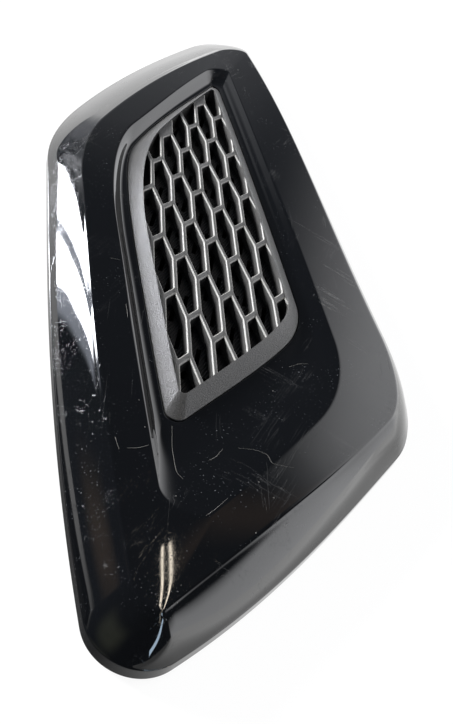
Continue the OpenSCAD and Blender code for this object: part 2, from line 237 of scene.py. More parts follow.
low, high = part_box("surround")
whole = blade(BODY, *BODY_FORM)
MIDDLE = (whole.min(0) + whole.max(0)) / 2 - np.array([low.x + high.x, low.y + high.y]) / (2 * MM)
print("outline moved by", np.round(-MIDDLE, 3), "mm to sit over the CAD model")


def ring(lines, form, z, grow=0.0):
    """A blade outline at a height, as points in the CAD frame."""
    flat = blade(grown(lines, grow), *form) - MIDDLE
    return np.column_stack([flat, np.full(len(flat), z)])


def mixed(form_a, form_b, share):
    """A form between two forms, by its share of the second one."""
    return tuple((1 - share) * np.array(p) + share * np.array(q) for p, q in zip(form_a, form_b))


# %% [markdown]
# ## Skins from rings
# A moulded shell could be made by extruding and bevelling, but its fillets would then be uneven where the
# outline turns. Here the section is drawn as a row of rings, and a cubic B-spline runs through them from
# ring to ring. Rings close together give a tight radius, and rings far apart give a slow curve, so one rule
# makes both the crisp creases and the soft bevel. The result is closed, and its normals point outwards.

# %% Ring helpers
def toward(a, b, distance):
    """Each point of ring a moved towards ring b, by a distance or by at most 0.45 of the way."""
    gap = b - a
    length = np.linalg.norm(gap, axis=1, keepdims=True)
    return a + gap * np.minimum(0.45, distance / length)


def bulged(a, b, share, height):
    """A ring between two rings, raised from the straight line between them."""
    run = b - a
    along = np.roll(a, -1, axis=0) - np.roll(a, 1, axis=0)
    out = np.cross(run, along)
    out /= np.linalg.norm(out, axis=1, keepdims=True)
    return a + share * run + height * out


def held(before, at, after, radius):
    """Three rings that hold an edge at a radius."""
    return [toward(at, before, radius), at, toward(at, after, radius)]


def rounded(corners):
    """Rings around a closed section, from each corner's ring and its radius."""
    count = len(corners)
    return [part for n, (at, radius) in enumerate(corners)
            for part in held(corners[n - 1][0], at, corners[(n + 1) % count][0], radius)]


def spline(rings, steps):
    """Rings of a closed uniform cubic B-spline, with a number of steps to each span."""
    control = np.array(rings)
    result = []
    for n in range(len(control)):
        p = [control[(n + k) % len(control)] for k in range(4)]
        for t in np.arange(steps) / steps:
            result.append(((1 - t) ** 3 * p[0] + (3 * t ** 3 - 6 * t ** 2 + 4) * p[1]
                           + (-3 * t ** 3 + 3 * t ** 2 + 3 * t + 1) * p[2] + t ** 3 * p[3]) / 6)
    return np.array(result)


def ring_mesh(name, rings):
    """A closed mesh that runs through its rings and back to the first one."""
    m, n = len(rings), len(rings[0])
    index = np.arange(m * n).reshape(m, n)
    right, up = np.roll(index, -1, axis=1), np.roll(index, -1, axis=0)
    both = np.roll(up, -1, axis=1)
    faces = np.stack([index, up, both, right], axis=-1).reshape(-1, 4)
    mesh = bpy.data.meshes.new(name)
    mesh.from_pydata((rings.reshape(-1, 3) * MM).tolist(), [], faces.tolist())
    piece = bpy.data.objects.new(name, mesh)
    SCENE.collection.objects.link(piece)
    return piece


def finish_mesh(piece, material, angle=40):
    """Smooth shading with sharp edges kept, and one material."""
    mesh = piece.data
    mesh.shade_smooth()
    mesh.set_sharp_from_angle(angle=math.radians(angle))
    mesh.materials.clear()
    mesh.materials.append(material)
    return piece


def solid_volume(mesh):
    """Signed volume in cubic millimetres: positive when the faces point outwards."""
    mesh.calc_loop_triangles()
    co = np.array([v.co for v in mesh.vertices])
    tri = co[np.array([t.vertices for t in mesh.loop_triangles])]
    return float(np.einsum("ij,ij->i", tri[:, 0], np.cross(tri[:, 1], tri[:, 2])).sum() / 6 / MM ** 3)


def report(title, piece):
    """Prints a piece's face count and volume."""
    print(title + ":", len(piece.data.polygons), "faces,", round(solid_volume(piece.data), 1), "mm3")


# %% [markdown]
# ## The surround
# On the real vent this is one injection moulding in black ABS, with a mirror finish straight from a
# polished tool. Its bevel is slightly convex, which is what draws the lamps out into long leaning streaks,
# and its dish falls steeply from the face and then flattens towards the grille.

# %% Surround skin
BEVEL_BULGE = 0.55         # how far the bevel stands out from a flat chamfer
GROOVE = 0.12              # depth of the fine step between the rim wall and the bevel
TRIM = 0.07                # keeps the rounder outline inside the box of the CAD one
DISH_LOW = 0.16            # share of the dish's depth left where its steep edge meets its floor

foot = ring(BODY, BODY_FORM, 0, -TRIM)
rim = ring(BODY, BODY_FORM, RIM_H, -TRIM)
rim_step = ring(BODY, BODY_FORM, RIM_H, -GROOVE)
crease = ring(CREASE, CREASE_FORM, CREASE_Z)
fold = ring(FOLD, FOLD_FORM, FACE_Z)
roll = ring(grown(EDGE, DISH_FLOOR), mixed(EDGE_FORM, FOLD_FORM, 0.5), LIP_Z + DISH_LOW * (FACE_Z - LIP_Z))
lip = ring(EDGE, EDGE_FORM, LIP_Z, GAP)
lip_under = ring(EDGE, EDGE_FORM, SEAT_Z, GAP)
seat = ring(EDGE, EDGE_FORM, SEAT_Z, FLANGE_W + GAP)
fold_under = ring(FOLD, FOLD_FORM, FACE_Z - WALL, WALL / 2)
crease_under = ring(CREASE, CREASE_FORM, CREASE_Z - WALL, -WALL / 2)
rim_under = ring(BODY, BODY_FORM, RIM_H - WALL / 2, -WALL)
foot_under = ring(BODY, BODY_FORM, 0, -WALL)

section = [
    *held(foot_under, foot, rim, 0.15),
    toward(rim, foot, 0.5), rim,
    *held(rim, rim_step, crease, 0.18),
    bulged(rim_step, crease, 0.12, BEVEL_BULGE * 0.42),
    bulged(rim_step, crease, 0.33, BEVEL_BULGE * 0.88),
    bulged(rim_step, crease, 0.5, BEVEL_BULGE),
    bulged(rim_step, crease, 0.67, BEVEL_BULGE * 0.88),
    bulged(rim_step, crease, 0.86, BEVEL_BULGE * 0.5),
    *held(rim, crease, fold, 0.75),
    toward(crease, fold, 2.4), toward(fold, crease, 2.0),
    *held(crease, fold, roll, 1.2),
    bulged(fold, roll, 0.55, 0.16), roll, bulged(roll, lip, 0.5, -0.12),
    *held(roll, lip, lip_under, 0.2),
    *held(lip, lip_under, seat, 0.15),
    *held(lip_under, seat, fold_under, 0.2),
    *held(seat, fold_under, crease_under, 0.4),
    *held(fold_under, crease_under, rim_under, 0.4),
    *held(crease_under, rim_under, foot_under, 0.2),
    *held(rim_under, foot_under, foot, 0.15)]
surround = ring_mesh("surround_shell", spline(section, 3))
report("surround", surround)

# %% [markdown]
# ## Finishes
# Each finish starts from the real material and from how its surface was made. Patterns are sized in real
# millimetres and read Object coordinates, so they stay in place when the piece or the camera moves.

# %% A base for the finishes
def blank(name):
    """A named material with an empty node tree."""
    made = bpy.data.materials.new(name)
    made.use_nodes = True
    made.node_tree.nodes.clear()
    return made, made.node_tree


def shown(tree, shader):
    """Makes a shader the surface of its material."""
    tree.links.new(shader, add(tree, "ShaderNodeOutputMaterial").inputs["Surface"])


def finish(name, **values):
    """A named material with its Principled shader and its object coordinates."""
    made, tree = blank(name)
    shader = add(tree, "ShaderNodeBsdfPrincipled", **values)
    shown(tree, shader.outputs[0])
    return made, tree, shader, add(tree, "ShaderNodeTexCoord").outputs["Object"]


def dressed(tree, shader, **patterns):
    """Links patterns to the shader's inputs by name."""
    for name, pattern in patterns.items():
        tree.links.new(pattern, shader.inputs[name.replace("_", " ")])


def noise(tree, place, size_mm, detail=2.0, rough=0.5):
    """A noise value whose blotches are about this many millimetres wide."""
    return add(tree, "ShaderNodeTexNoise", Vector=place, Scale=1 / (size_mm * MM), Detail=detail,
               Roughness=rough).outputs["Fac"]


def relief(tree, height, depth_mm, strength, sunk=False, **more):
    """A normal bent by a height pattern of this depth."""
    return add(tree, "ShaderNodeBump", {"invert": sunk}, Height=height, Distance=depth_mm * MM,
               Strength=strength, **more).outputs[0]


def stretched(tree, place, turn_z, scale):
    """Coordinates turned about Z and then stretched, for brushed and scratched patterns."""
    turned_place = add(tree, "ShaderNodeMapping", Vector=place, Rotation=(0, 0, math.radians(turn_z)))
    return add(tree, "ShaderNodeMapping", Vector=turned_place.outputs[0], Scale=scale).outputs[0]


def blend_colour(tree, share, first, second):
    """A mix of two colours by a share; a colour is a hex text or a socket."""
    ends = [linear(c) if isinstance(c, str) else c for c in (first, second)]
    return add(tree, "ShaderNodeMix", {"data_type": "RGBA"}, i0=share, i6=ends[0], i7=ends[1]).outputs[2]


# %% [markdown]
# ### Gloss black ABS
# Moulded ABS takes its shine from the polished tool. It reflects like any plastic, with an IOR of 1.53, and
# its black is so deep that almost everything one sees is a reflection. Used parts carry fine wiping
# scratches, a little haze and dust, and these only show because the surface under them is a mirror.

# %% Gloss black ABS
def gloss_black():
    made, tree, shader, place = finish("gloss_black_abs", IOR=1.53)
    dust = times(tree, smooth_step(tree, noise(tree, place, 0.5, 1), 0.69, 0.78),
                 smooth_step(tree, noise(tree, place, 14, 3), 0.42, 0.7))
    haze = smooth_step(tree, noise(tree, place, 26, 3, 0.6), 0.52, 0.8)
    specks = smooth_step(tree, noise(tree, place, 0.45, 1), 0.56, 0.74)
    scratches = 0.0
    for turn_z, spacing in ((38, 1.1), (-52, 1.6), (11, 2.1)):
        lines = noise(tree, stretched(tree, place, turn_z, (1, 0.03, 1)), spacing, 2)
        off_line = math_node(tree, "ABSOLUTE", math_node(tree, "SUBTRACT", lines, 0.5))
        patch = smooth_step(tree, noise(tree, stretched(tree, place, turn_z, (1, 0.3, 1)), 9, 1), 0.58, 0.72)
        mask = times(tree, smooth_step(tree, off_line, 0.006, 0.001), patch)
        scratches = math_node(tree, "MAXIMUM", scratches, mask)
    rough = 0.022
    for mark, amount in ((haze, 0.05), (specks, 0.06), (scratches, 0.12), (dust, 0.4)):
        rough = times_plus(tree, mark, amount, rough)
    waves = relief(tree, noise(tree, place, 18, 1), 0.03, 1.0)
    dressed(tree, shader, Base_Color=blend_colour(tree, times(tree, dust, 0.35), "#07080a", "#8d9096"),
            Roughness=rough, Normal=relief(tree, scratches, 0.02, 0.6, True, Normal=waves))
    return made


# %% [markdown]
# ### Grained grey ABS
# The insert is moulded in grey ABS in a tool with an etched grain, so it is matt from afar and sparkles up
# close. The grain is a bump of about half a millimetre, and a coarser roughness change breaks up the sheen.
# The chamfers of the bars carry a painted highlight: a paler colour that stands in for the light they catch,
# so a face attribute marks those faces, and the finish reads it.

# %% Grained grey ABS
def grained_grey():
    made, tree, shader, place = finish("grained_grey_abs", IOR=1.53)
    grain, cloud = noise(tree, place, 0.42, 2, 0.6), noise(tree, place, 7, 3)
    painted_highlight = add(tree, "ShaderNodeAttribute", {"attribute_name": "rubbed_edge"}).outputs["Fac"]
    colour = blend_colour(tree, cloud, "#4b4b4c", "#5a5957")
    pits = blend_colour(tree, 0.35, colour, "#2c2c2d")
    colour = blend_colour(tree, smooth_step(tree, grain, 0.4, 0.62), pits, colour)
    # painted highlight: the marked chamfers are pale grey, in place of the light they catch
    dressed(tree, shader, Base_Color=blend_colour(tree, painted_highlight, colour, "#9a9995"),
            Roughness=times_plus(tree, cloud, 0.08, times_plus(tree, grain, 0.2, 0.27)),
            Normal=relief(tree, grain, 0.16, 0.9))
    return made


# %% [markdown]
# ### Screen, seal and screws
# The screen behind the mesh is a near-black moulded sheet with a fine diagonal rib. The seal is closed-cell
# sponge rubber, which looks dull and pitted. The screws are steel with a thin zinc coat, a metal with a
# faint warm cloud.

# %% Screen, seal and screw finishes
RIB_MM = 0.9               # spacing of the screen's ribs


def ribbed_screen():
    made, tree, shader, place = finish("ribbed_black_nylon", IOR=1.52, Roughness=0.62)
    across = stretched(tree, place, 38, (1, 1, 1))
    ribs = add(tree, "ShaderNodeTexWave", {"wave_profile": "SIN"}, Vector=across,
               Scale=2 * math.pi / (20 * RIB_MM * MM), Distortion=1.2, Detail=2.0).outputs["Fac"]
    dressed(tree, shader, Base_Color=blend_colour(tree, ribs, "#0b0c0d", "#1b1c1e"),
            Normal=relief(tree, ribs, 0.25, 0.9))
    return made


def sponge_rubber():
    made, tree, shader, place = finish("sponge_rubber", IOR=1.5)
    cells = add(tree, "ShaderNodeTexVoronoi", Vector=place, Scale=1 / (0.7 * MM)).outputs["Distance"]
    dressed(tree, shader, Base_Color=blend_colour(tree, noise(tree, place, 5, 3), "#1b1b1c", "#2a2a2b"),
            Roughness=times_plus(tree, cells, 0.1, 0.82), Normal=relief(tree, cells, 0.2, 0.7))
    return made


def zinc_steel():
    made, tree, shader, place = finish("zinc_plated_steel", Metallic=1.0)
    cloud = noise(tree, place, 1.6, 4, 0.6)
    dressed(tree, shader, Base_Color=blend_colour(tree, cloud, "#a9abad", "#c9c6bb"),
            Roughness=times_plus(tree, cloud, 0.2, 0.24),
            Normal=relief(tree, noise(tree, place, 0.3, 2), 0.02, 0.5))
    return made


def lint_fibre():
    made, tree, shader, place = finish("cotton_lint", IOR=1.5, Roughness=0.9)
    dressed(tree, shader, Base_Color=blend_colour(tree, noise(tree, place, 2, 2), "#5f5e5c", "#918f8a"))
    return made


GLOSS, GREY, SCREEN, SPONGE = gloss_black(), grained_grey(), ribbed_screen(), sponge_rubber()
ZINC, LINT = zinc_steel(), lint_fibre()
print("finishes:", [m.name for m in (GLOSS, GREY, SCREEN, SPONGE, ZINC, LINT)])

# %% [markdown]
# ## Bosses and holes
# Six bosses under the shell take the screws from the hood, and six pads take the screws of the insert. They
# are turned shapes, so one helper spins a profile at each place, and a Boolean joins or cuts them. The
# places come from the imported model: its bolt patterns give the bosses, and its screws give the pads.

# %% Turned solids and Booleans
def turned(name, places, profile, segments=40):
    """One mesh of turned solids. A profile is radius and height, from the axis back to the axis."""
    angles = np.arange(segments) * 2 * np.pi / segments
    circle = np.column_stack([np.cos(angles), np.sin(angles)])
    verts, faces = [], []
    for x, y in places:
        base = len(verts)
        verts.append((x, y, profile[0][1]))
        for radius, z in profile[1:-1]:
            verts += [(x + radius * c, y + radius * s, z) for c, s in circle]
        verts.append((x, y, profile[-1][1]))
        rows = len(profile) - 2
        last = base + 1 + (rows - 1) * segments
        for n in range(segments):
            m = (n + 1) % segments
            faces.append((base, base + 1 + m, base + 1 + n))
            faces.append((last + n, last + m, len(verts) - 1))
            for row in range(rows - 1):
                a = base + 1 + row * segments
                faces.append((a + n, a + m, a + segments + m, a + segments + n))
    return mesh_object(name, verts, faces)


def drum(radius, low_z, high_z):
    """The profile of a plain cylinder."""
    return [(0, low_z), (radius, low_z), (radius, high_z), (0, high_z)]


def mesh_object(name, verts, faces):
    """An object from points in millimetres."""
    mesh = bpy.data.meshes.new(name)
    mesh.from_pydata((np.array(verts) * MM).tolist(), [], faces)
    piece = bpy.data.objects.new(name, mesh)
    SCENE.collection.objects.link(piece)
    return piece


def plain_mesh(piece):
    """Applies a piece's modifiers, so that it holds a plain mesh."""
    evaluated = piece.evaluated_get(bpy.context.evaluated_depsgraph_get())
    mesh = bpy.data.meshes.new_from_object(evaluated)
    piece.modifiers.clear()
    piece.data = mesh
    return piece


def combine(piece, other, operation):
    """Joins or cuts a piece with another one, which is then removed."""
    step = piece.modifiers.new("step", "BOOLEAN")
    step.operation, step.solver, step.object = operation, "EXACT", other
    plain_mesh(piece)
    bpy.data.objects.remove(other)
    return piece


def bolt_places(record):
    """Boss centres in millimetres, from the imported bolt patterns."""
    places = []
    for mount in record["mounts"]:
        if mount["kind"] == "bolt_pattern":
            x, y, _ = (value / MM for value in mount["pos_m"])
            half = mount["dims"]["spacing_y_mm"] / 2
            places += [(x, y - half), (x, y + half)]
    return places


def centre(node):
    """The middle of a node in plan, in millimetres."""
    lowest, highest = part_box(node)
    return tuple((lowest + highest)[:2][k] / 2 / MM for k in (0, 1))


# %% Bosses, pads and holes
BOSS_R, BOSS_END, HOLE_R, HOLE_DEPTH = 4.2, 0.4, 2.0, 9.0
POST_TOP, EASE = FACE_Z - WALL + 0.2, 0.3
PAD_R, PILOT_R, SCREW_TOP = 3.6, 1.45, 12.7

bosses = bolt_places(frame["record"])
screws = [centre(f"grille_screw_{n}") for n in range(1, 7)]
posts = turned("posts", bosses, [(0, BOSS_END), (BOSS_R - EASE, BOSS_END), (BOSS_R, BOSS_END + EASE),
                                 (BOSS_R, POST_TOP), (0, POST_TOP)])
combine(surround, posts, "UNION")
pads = turned("pads", screws, drum(PAD_R, SEAT_Z, POST_TOP))
combine(surround, pads, "UNION")
holes = turned("holes", bosses, [(0, -1), (HOLE_R + EASE + 0.8, -1 + 0.2), (HOLE_R, BOSS_END + EASE),
                                 (HOLE_R, BOSS_END + HOLE_DEPTH), (0, BOSS_END + HOLE_DEPTH + 0.6)])
combine(surround, holes, "DIFFERENCE")
pilots = turned("pilots", screws, drum(PILOT_R, SEAT_Z - 1, SCREW_TOP))
combine(surround, pilots, "DIFFERENCE")
finish_mesh(surround, GLOSS)
report("surround with bosses", surround)

# %% [markdown]
# ## The grille insert
# The insert is a second moulding: a sloping border, a mesh of long hexagons, and a flange underneath that
# the screws pull against the surround. The border is a row of rings like the surround. The mesh follows a
# rule, so Geometry Nodes makes it: one flared opening is set on a skewed grid of points, and all of them
# are cut from a plate at once. The flare leaves the fine chamfer that catches the light along each bar.

# %% Border of the insert
flange_low, flange_top = (ring(EDGE, EDGE_FORM, z, FLANGE_W) for z in (FLANGE_Z, SEAT_Z))
edge_seat, edge_lip = (ring(EDGE, EDGE_FORM, z) for z in (SEAT_Z, LIP_Z))
crest, inner_low = (ring(WINDOW, WINDOW_FORM, z) for z in (BORDER_TOP_Z, SCREEN_Z))
ledge_high, ledge_low = (ring(WINDOW, WINDOW_FORM, z, LEDGE) for z in (SCREEN_Z, FLANGE_Z))
grille = ring_mesh("grille", spline(rounded([
    (flange_low, 0.2), (flange_top, 0.2), (edge_seat, 0.1), (edge_lip, 0.25), (crest, 0.3), (inner_low, 0.1),
    (ledge_high, 0.1), (ledge_low, 0.2)]), 3))
report("border", grille)

# %% One opening of the mesh
KNOT_STEP, SIDE_DROP, ROW_DROP = 6.0, 8.4, 18.8     # spacing of the knots across and down
KNOT_RUN, KNOT_RISE = 4.2, 3.7                      # each knot is a short slanted bar of this length
STRAND, KNOT_W = 1.4, 2.0                           # widths of the long bars and the knots
CHAMFER, CORNER_CUT = 0.34, 0.55                    # chamfer on the bars, and ease of the opening's corners
MESH_ROOT, HAIR = 0.3, 0.05                         # how far the mesh runs into the border, and its lift


def knot(i, j):
    return np.array([(i - j) * KNOT_STEP, -i * SIDE_DROP - j * ROW_DROP])


def opening_outline(inset):
    """The hexagon between four knots, shrunk by an inset, with eased corners."""
    half = np.array([KNOT_RUN, KNOT_RISE]) / 2
    v = [knot(0, 0) - half, knot(0, 0) + half, knot(1, 0) - half, knot(1, 1) + half, knot(1, 1) - half,
         knot(0, 1) + half]
    widths = np.array([KNOT_W, STRAND, STRAND, KNOT_W, STRAND, STRAND]) / 2 + inset
    edges = []
    for n in range(6):
        u = (v[(n + 1) % 6] - v[n]) / np.linalg.norm(v[(n + 1) % 6] - v[n])
        edges.append((v[n] + widths[n] * np.array([u[1], -u[0]]), u))
    points = []
    for n in range(6):
        (p, a), (q, b) = edges[n - 1], edges[n]
        tip = p + a * cross2(q - p, b) / cross2(a, b)
        for t in (0, 0.35, 0.65, 1):
            points.append((1 - t) ** 2 * (tip - CORNER_CUT * a) + 2 * t * (1 - t) * tip
                          + t ** 2 * (tip + CORNER_CUT * b))
    return np.array(points)[::-1]


def lofted(name, loops):
    """A closed solid through loops of points at their heights, bottom first."""
    size = len(loops[0][0])
    verts = [(*p, z) for points, z in loops for p in points]
    faces = [tuple(range(size))[::-1], tuple(range(len(verts) - size, len(verts)))]
    for row in range(len(loops) - 1):
        a = row * size
        faces += [(a + n, a + (n + 1) % size, a + size + (n + 1) % size, a + size + n) for n in range(size)]
    return mesh_object(name, verts, faces)


opening = lofted("opening", [(opening_outline(0), SCREEN_Z - 1), (opening_outline(0), MESH_Z - CHAMFER),
                             (opening_outline(-CHAMFER - 0.2), MESH_Z + 0.2)])
plate = lofted("plate", [(ring(WINDOW, WINDOW_FORM, 0, MESH_ROOT)[::-1, :2], z)
                         for z in (SCREEN_Z + HAIR, MESH_Z)])
report("opening", opening)
report("plate", plate)

# %% Geometry Nodes for the mesh of openings
def group_tree(name, sockets):
    """A geometry node tree with a geometry input and named inputs; gives the tree and its input node."""
    tree = bpy.data.node_groups.new(name, "GeometryNodeTree")
    tree.interface.new_socket("Geometry", in_out="INPUT", socket_type="NodeSocketGeometry")
    for title, kind in sockets:
        tree.interface.new_socket(title, in_out="INPUT", socket_type="NodeSocket" + kind)
    tree.interface.new_socket("Geometry", in_out="OUTPUT", socket_type="NodeSocketGeometry")
    return tree, tree.nodes.new("NodeGroupInput")


def grown_by_nodes(piece, tree, **values):
    """Runs a node tree on a piece with its inputs set, and keeps the result as a plain mesh."""
    modifier = piece.modifiers.new("nodes", "NODES")
    modifier.node_group = tree
    for item in tree.interface.items_tree:
        if item.item_type == "SOCKET" and item.in_out == "INPUT" and item.name.replace(" ", "_") in values:
            modifier[item.identifier] = values[item.name.replace(" ", "_")]
    bpy.context.view_layer.update()
    return plain_mesh(piece)


def closing(tree, geometry, material):
    """Ends a tree in real geometry with its material."""
    real = add(tree, "GeometryNodeRealizeInstances", Geometry=geometry)
    painted = add(tree, "GeometryNodeSetMaterial", Geometry=real.outputs[0], Material=material)
    tree.links.new(painted.outputs[0], tree.nodes.new("NodeGroupOutput").inputs[0])


def lattice_tree():
    """Cuts one opening many times from a plate, on a grid with two skewed steps."""
    tree, given = group_tree("hexagon_mesh", [
        ("Opening", "Object"), ("First knot", "Vector"), ("Right step", "Vector"), ("Left step", "Vector"),
        ("Across", "Int"), ("Down", "Int"), ("Closed", "Vector"), ("Finish", "Material")])
    value = given.outputs
    line = add(tree, "GeometryNodeMeshLine", Count=times(tree, value["Across"], value["Down"]))
    index = tree.nodes.new("GeometryNodeInputIndex").outputs[0]
    across = math_node(tree, "MODULO", index, value["Across"])
    row = math_node(tree, "FLOOR", math_node(tree, "DIVIDE", index, value["Across"]))
    place = value["First knot"]
    for title, number in (("Right step", across), ("Left step", row)):
        place = add(tree, "ShaderNodeVectorMath", {"operation": "MULTIPLY_ADD"}, i0=value[title], i1=number,
                    i2=place).outputs[0]
    points = add(tree, "GeometryNodeSetPosition", Geometry=line.outputs[0], Position=place)
    closed = add(tree, "ShaderNodeSeparateXYZ", Vector=value["Closed"]).outputs
    matches = [math_node(tree, "COMPARE", index, closed[k], 0.5) for k in (0, 1)]
    left_out = math_node(tree, "MAXIMUM", *matches)
    kept = add(tree, "GeometryNodeDeleteGeometry", Geometry=points.outputs[0], Selection=left_out)
    shape = add(tree, "GeometryNodeObjectInfo", Object=value["Opening"])
    copies = add(tree, "GeometryNodeInstanceOnPoints", Points=kept.outputs[0],
                 Instance=shape.outputs["Geometry"])
    real = add(tree, "GeometryNodeRealizeInstances", Geometry=copies.outputs[0])
    cut = add(tree, "GeometryNodeMeshBoolean", {"operation": "DIFFERENCE", "solver": "EXACT"},
              Mesh_1=value["Geometry"], Mesh_2=real.outputs[0])
    closing(tree, cut.outputs[0], value["Finish"])
    return tree


FIRST_KNOT = np.array([7.4, 71.7]) - MIDDLE         # the knot that the rows are counted from
RIGHT_KNOTS, LEFT_KNOTS = range(-2, 7), range(-1, 10)
CLOSED = [(i - RIGHT_KNOTS[0]) + (j - LEFT_KNOTS[0]) * len(RIGHT_KNOTS) for i, j in ((-2, 1), (-1, -1))]
start = FIRST_KNOT + knot(RIGHT_KNOTS[0], LEFT_KNOTS[0])
lattice = grown_by_nodes(
    plate, lattice_tree(), Opening=opening, First_knot=(*(start * MM), 0.0),
    Right_step=(*(knot(1, 0) * MM), 0.0), Left_step=(*(knot(0, 1) * MM), 0.0),
    Across=len(RIGHT_KNOTS), Down=len(LEFT_KNOTS), Closed=(*map(float, CLOSED), 0.0), Finish=GREY)
bpy.data.objects.remove(opening)
report("mesh", lattice)

# %% [markdown]
# ### Ears and stakes
# Six ears stand out from the flange for the screws, and four small melted pins hold the screen. The ears
# point straight out of the flange, so their direction is the shortest way from each screw to the flange's
# edge.

# %% Ears, stakes and the joined insert
EAR_R, EAR_NECK, EAR_HOLE_R, FLANGE_T = 3.6, 6.2, 1.75, 2.0
PIN_R, PIN_HEAD_R, PIN_HEAD_T, SCREEN_T = 0.6, 1.0, 0.6, 1.2
STAKES = [(-26.55, -79.80), (-26.44, -38.72), (17.84, 62.47), (17.96, -11.43)]


def ear(n, place):
    """An ear round a screw, with a neck that reaches back into the flange."""
    place = np.array(place)
    rim = flange_low[:, :2]
    nearest = rim[np.argmin(np.linalg.norm(rim - place, axis=1))]
    back = nearest - place
    reach = np.linalg.norm(back) + FLANGE_W / 2
    back_angle = math.degrees(math.atan2(back[1], back[0]))
    open_angle = math.degrees(math.asin(EAR_NECK / 2 / EAR_R))
    arc = [place + EAR_R * unit(back_angle + a) for a in np.linspace(open_angle, 360 - open_angle, 40)]
    side_way = EAR_NECK / 2 * unit(back_angle + 90)
    root = place + reach * unit(back_angle)
    outline = np.array(arc + [root - side_way, root + side_way])
    return lofted(f"ear_{n}", [(outline, FLANGE_Z), (outline, SEAT_Z)])


for n, place in enumerate(screws):
    combine(grille, ear(n, place), "UNION")
combine(grille, turned("ear_holes", screws, drum(EAR_HOLE_R, FLANGE_Z - 1, SEAT_Z + 1)), "DIFFERENCE")
low_z, top_z = SCREEN_Z - SCREEN_T - PIN_HEAD_T, SCREEN_Z + HAIR
pin = [(0, low_z), (PIN_HEAD_R * 0.6, low_z + 0.08), (PIN_HEAD_R, low_z + 0.35),
       (PIN_HEAD_R, low_z + PIN_HEAD_T), (PIN_R, low_z + PIN_HEAD_T), (PIN_R, top_z), (0, top_z)]
combine(grille, turned("stakes", STAKES, pin, 24), "UNION")
combine(grille, lattice, "UNION")


def mark_painted_highlight(piece, outline):
    """Marks the chamfers of the bars, which slope just below the top of the mesh, inside the window, for
    their painted highlight.
    """
    flags = []
    for face in piece.data.polygons:
        x, y, z = face.center / MM
        flags.append(MESH_Z - CHAMFER < z < MESH_Z and 0.5 < face.normal.z < 0.9 and inside(x, y, outline))
    layer = piece.data.attributes.new("rubbed_edge", "FLOAT", "FACE")
    layer.data.foreach_set("value", np.array(flags, float))
    return sum(flags)


def inside(x, y, outline):
    """Whether a point lies inside a closed outline."""
    (ax, ay), (bx, by) = outline.T, np.roll(outline, -1, axis=0).T
    across = (ay > y) != (by > y)
    return bool(np.sum(x < ax[across] + (y - ay[across]) * (bx - ax)[across] / (by - ay)[across]) % 2)


print("rubbed faces:", mark_painted_highlight(grille, crest[:, :2]))
finish_mesh(grille, GREY, 32)
report("insert", grille)

# %% [markdown]
# ## The screws
# Pan-head screws pull the insert up against the surround. Their thread is a ridge that climbs with the
# angle, so the shank is one grid of points whose radius depends on height and angle. The cross recess is
# cut into the head. Then Geometry Nodes puts a copy at each ear.

# %% Screws
HEAD_R, HEAD_H, SHANK, THREAD_STEP = 2.8, 1.9, 5.0, 1.1
CORE_R, RIDGE_R, RECESS_LEN, RECESS_W, RECESS_D = 1.08, 1.4, 3.1, 0.7, 1.0


def thread_radius(angle, climb):
    """Radius of the shank: a sharp ridge once in each thread step, and a short point at the end."""
    phase = (climb / THREAD_STEP - angle / (2 * math.pi)) % 1
    ridge = max(0.0, 1 - abs(phase - 0.5) / 0.28)
    body = CORE_R + (RIDGE_R - CORE_R) * ridge * min(1, climb / 0.5)
    return body * min(1, 0.45 + (SHANK - climb) / 1.1)


def screw():
    """One screw with its head down, standing on the origin."""
    segments, rows = 36, 50
    loops = [(lambda a, r=r: r, z) for r, z in
             ((1.6, 0.0), (2.1, 0.05), (2.5, 0.22), (2.72, 0.5), (HEAD_R, 0.9), (HEAD_R, HEAD_H - 0.15),
              (HEAD_R - 0.15, HEAD_H), (RIDGE_R, HEAD_H))]
    loops += [(lambda a, c=c: thread_radius(a, c), HEAD_H + c) for c in np.linspace(0.05, SHANK, rows)]
    angles = np.arange(segments) * 2 * math.pi / segments
    outlines = [(np.array([radius(a) * np.array([math.cos(a), math.sin(a)]) for a in angles]), z)
                for radius, z in loops]
    made = lofted("screw", outlines)
    for quarter in (0, 90):
        u, v = unit(quarter) * RECESS_LEN / 2, unit(quarter + 90) * RECESS_W / 2
        bar = np.array([u + v, -u + v, -u - v, u - v])
        combine(made, lofted("recess", [(bar, -1), (bar * 0.9, RECESS_D)]), "DIFFERENCE")
    return made


def copies_tree():
    """Copies of a piece on every point of the input mesh."""
    tree, given = group_tree("copies_on_points", [
        ("Piece", "Object"), ("Finish", "Material"), ("Spread", "Float"), ("Seed", "Int")])
    value = given.outputs
    shape = add(tree, "GeometryNodeObjectInfo", Object=value["Piece"])
    turn_z = add(tree, "FunctionNodeRandomValue", {"data_type": "FLOAT"}, Seed=value["Seed"]).outputs[1]
    turn_z = math_node(tree, "MULTIPLY", turn_z, value["Spread"])
    angle = add(tree, "ShaderNodeCombineXYZ", Z=turn_z)
    copies = add(tree, "GeometryNodeInstanceOnPoints", Points=value["Geometry"],
                 Instance=shape.outputs["Geometry"], Rotation=angle.outputs[0])
    closing(tree, copies.outputs[0], value["Finish"])
    return tree


one_screw = screw()
insert_screws = mesh_object("insert_screws", [(x, y, FLANGE_Z - HEAD_H) for x, y in screws], [])
grown_by_nodes(insert_screws, copies_tree(), Piece=one_screw, Finish=ZINC, Spread=2 * math.pi, Seed=4)
bpy.data.objects.remove(one_screw)
finish_mesh(insert_screws, ZINC, 35)
report("screws", insert_screws)

# %% [markdown]
# ## Seal and screen
# The foam seal runs inside the rim and follows the slant of the wall above it. It is cut from sheet, so its
# edges are only slightly soft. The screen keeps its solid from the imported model, and only takes its finish
# here.

